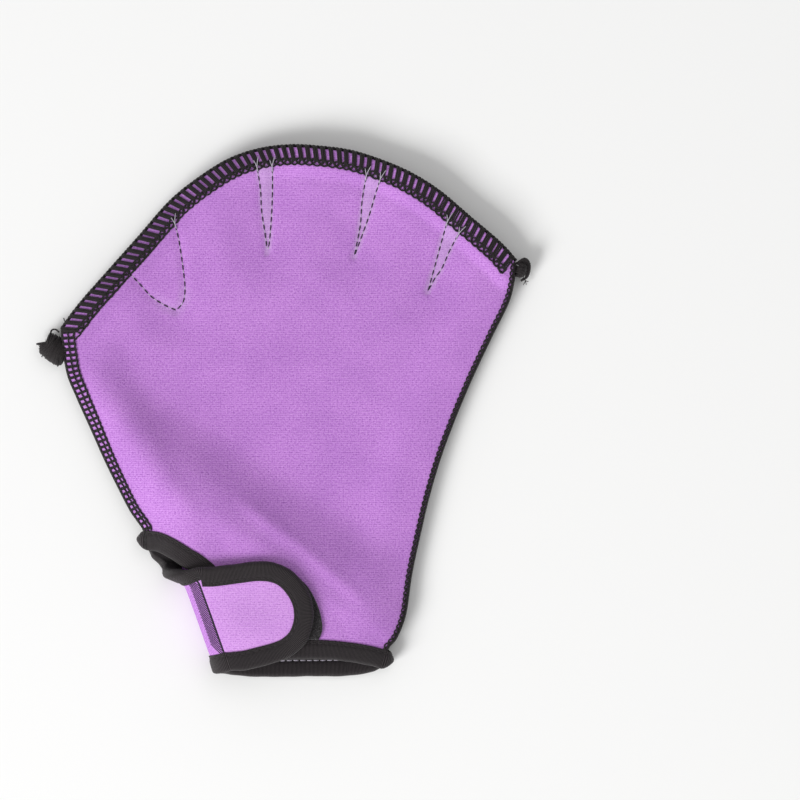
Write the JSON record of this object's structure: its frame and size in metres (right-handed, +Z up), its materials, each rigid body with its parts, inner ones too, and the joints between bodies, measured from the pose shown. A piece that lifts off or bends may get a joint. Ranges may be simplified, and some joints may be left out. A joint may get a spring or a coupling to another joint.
{
  "type": "webbed swim glove",
  "caption": "Mitten-shaped neoprene water glove laid flat, with a wide web fan, open finger mouths, a thumb mouth, stitched finger dividers, taped edges and a wrap strap at the wrist.",
  "frame": {"origin": "middle of the overall footprint, on the surface that the glove lies on", "axes": "+Z up from the surface through the layers, +Y from the wrist towards the finger mouths, +X from the thumb side towards the little finger side"},
  "size_m": [0.1958, 0.213, 0.0198],
  "materials": {
    "neoprene": "matte knit-faced neoprene foam, purple",
    "strap_neoprene": "matte knit-faced neoprene foam, light purple",
    "binding_tape": "ribbed woven tape, near black",
    "seam_thread": "thick polyester seam thread, near black",
    "loop_pile": "fuzzy loop pile, black",
    "hook_tape": "stiff hook tape, black"
  },
  "bodies": {
    "root": {"back_panel": "neoprene", "front_panel": "neoprene", "wrist_strap": "strap_neoprene", "edge_binding": "binding_tape", "overlock_front": "seam_thread", "overlock_back": "seam_thread", "side_seam_thumb": "seam_thread", "side_seam_little": "seam_thread", "corner_tack_thumb": "seam_thread", "corner_tack_little": "seam_thread", "loop_patch": "loop_pile", "hook_patch": "hook_tape"}
  },
  "joints": []
}
